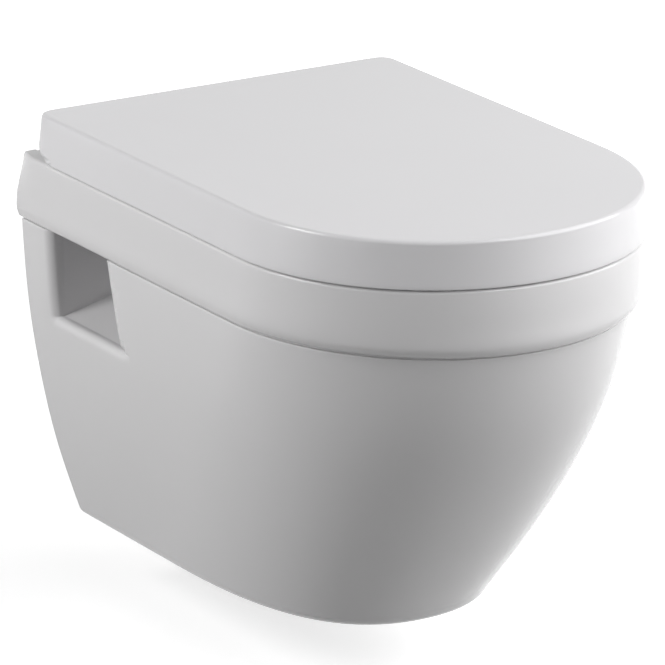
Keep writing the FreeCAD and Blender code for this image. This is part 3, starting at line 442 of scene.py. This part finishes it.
def lidSkin(p):
    # a D that draws in as it rises, with a rounded top edge and an eased lower edge
    topInset, topFall = roundedEdge(p["topRounding"], p["topTurn"])
    underInset, underRise = roundedEdge(p["underRounding"], p["underTurn"])
    low, high = p["under"] + p["underRounding"], p["top"] - p["topRounding"]
    between = np.linspace(high, low, p["sideRings"] + 2)[1:-1]
    heights = np.concatenate([p["top"] - topFall, between, p["under"] + underRise])
    inset = np.concatenate([topInset, np.zeros(p["sideRings"]), underInset])
    rise = (heights - p["under"]) / (p["top"] - p["under"])
    half = p["halfWidth"] - inset - p["sideDraft"] * rise
    front = p["front"] - inset - p["frontDraft"] * rise
    straight, squareness = np.full_like(half, p["straight"]), np.interp(rise, [0, 1], p["squareness"])
    rows = np.stack([half, straight, front, squareness], -1)
    rings = dRings(rows, p["rear"] + inset, [p["sideFrom"]], p["corner"] - inset, noseSteps=p["noseSteps"])
    return closedSkin(rings, heights)


# each piece is what skin and solid share, so hollows, bores and openings stay where the CAD has them
solid = combined("UNION", mergedCopy("pan"), hoopRound(pan["outline"], pan["hoop"], pan["hoopFrom"]))
addPiece("panSkin", combined("INTERSECT", panSkin(pan), solid), "pan", sharpAngles["skin"])
print("pan skinned and hollowed")
solid = mergedCopy("lid")
outline = lid["halfWidth"], lid["straight"], lid["front"], lid["squareness"][0]
for hoop in lid["hoops"]:
    solid = combined("UNION", solid, hoopRound(outline, hoop, lid["hoopFrom"]))
addPiece("lidSkin", combined("INTERSECT", lidSkin(lid), solid), "lid", sharpAngles["skin"])
print("lid skinned and hollowed")
for name in frame["nodes"]:
    if name not in ("pan", "lid"):
        addPiece(name + "Smooth", mergedCopy(name), name, sharpAngles["cad"])
print("other pieces:", len(frame["nodes"]) - 2)


# floor and light

studio = {
    "floorZ": -0.32,  # the rim is 400 mm over the floor
    "floorReach": 12,
    "floorRoughness": 0.9,
    "floorSeen": "#f2f2f2",
    "floorBounce": "#6c6c6c",  # what the floor gives back to the object, so that its underside stays dark
    "floorGlow": (0.6, 1.0),  # under the object and far off, where the lamps no longer reach
    "glowReach": (0.7, 2.2),
    "world": (0.02, 1.0),  # strength for light that falls on the object, and as seen or mirrored
    "aim": (0, -0.25, -0.05),
    "lights": {
        # place, width, height, strength in watts
        "right": ((1.58, -1.72, 1.40), 3.2, 2.8, 86),
        "rightLow": ((2.25, -1.55, 0.13), 2.6, 3.0, 9),
        "leftHigh": ((-1.87, 0.29, 1.36), 0.8, 0.9, 16),
        "left": ((-2.56, -0.25, 0.40), 3.0, 3.0, 22),
        "leftBehind": ((-2.22, 1.03, 0.40), 3.0, 3.0, 19),
    },
}


def addLight(name, aim, place, width, height, power):
    data = bpy.data.lights.new(name, "AREA")
    data.shape = "RECTANGLE"
    data.size = width
    data.size_y = height
    data.energy = power
    light = bpy.data.objects.new(name, data)
    bpy.context.scene.collection.objects.link(light)
    light.location = place
    light.rotation_euler = (Vector(aim) - Vector(place)).to_track_quat("-Z", "Y").to_euler()


def seenDirectly(tree):
    # 1 for rays from the camera and for mirrored or bent ones, and 0 for light that falls on the object
    path = addNode(tree, "ShaderNodeLightPath").outputs
    clear = path["Is Camera Ray"]
    for kind in ("Is Glossy Ray", "Is Transmission Ray"):
        clear = addNode(tree, "ShaderNodeMath", {"operation": "MAXIMUM"}, _0=clear, _1=path[kind]).outputs[0]
    return clear


def addStudio(s):
    world = bpy.data.worlds.new("studio")
    bpy.context.scene.world = world
    world.use_nodes = True
    tree = world.node_tree
    tree.nodes.clear()
    falling, direct = s["world"]
    strength = addNode(tree, "ShaderNodeMix", {"data_type": "FLOAT"}, _0=seenDirectly(tree), _2=falling,
                       _3=direct)
    shine = addNode(tree, "ShaderNodeBackground", Color=(1, 1, 1, 1), Strength=strength.outputs[0])
    addNode(tree, "ShaderNodeOutputWorld", Surface=shine.outputs[0])
    for name, values in s["lights"].items():
        addLight(name, s["aim"], *values)
    reach = s["floorReach"]
    mesh = bpy.data.meshes.new("floor")
    corners = [(x * reach, y * reach, s["floorZ"]) for x, y in ((-1, -1), (1, -1), (1, 1), (-1, 1))]
    mesh.from_pydata(corners, [], [(0, 1, 2, 3)])
    floor = bpy.data.objects.new("floor", mesh)
    bpy.context.scene.collection.objects.link(floor)
    material, tree, shader = newMaterial("floorPaint")
    seen = seenDirectly(tree)
    paint = addNode(tree, "ShaderNodeMix", {"data_type": "RGBA"}, _0=seen, _6=linear(s["floorBounce"]),
                    _7=linear(s["floorSeen"]))
    place = addNode(tree, "ShaderNodeTexCoord").outputs["Object"]
    far = addNode(tree, "ShaderNodeVectorMath", {"operation": "LENGTH"}, _0=place).outputs["Value"]
    (start, end), (least, most) = s["glowReach"], s["floorGlow"]
    rising = addNode(tree, "ShaderNodeMapRange", Value=far, From_Min=start, From_Max=end, To_Min=least,
                     To_Max=most)
    glow = addNode(tree, "ShaderNodeMath", {"operation": "MULTIPLY"}, _0=seen, _1=rising.outputs[0])
    tree.links.new(paint.outputs[2], shader.inputs["Base Color"])
    tree.links.new(glow.outputs[0], shader.inputs["Emission Strength"])
    shader.inputs["Emission Color"].default_value = (1, 1, 1, 1)
    shader.inputs["Roughness"].default_value = s["floorRoughness"]
    mesh.materials.append(material)


addStudio(studio)
print("studio lit")

bpy.context.scene.view_settings.view_transform = "Standard"
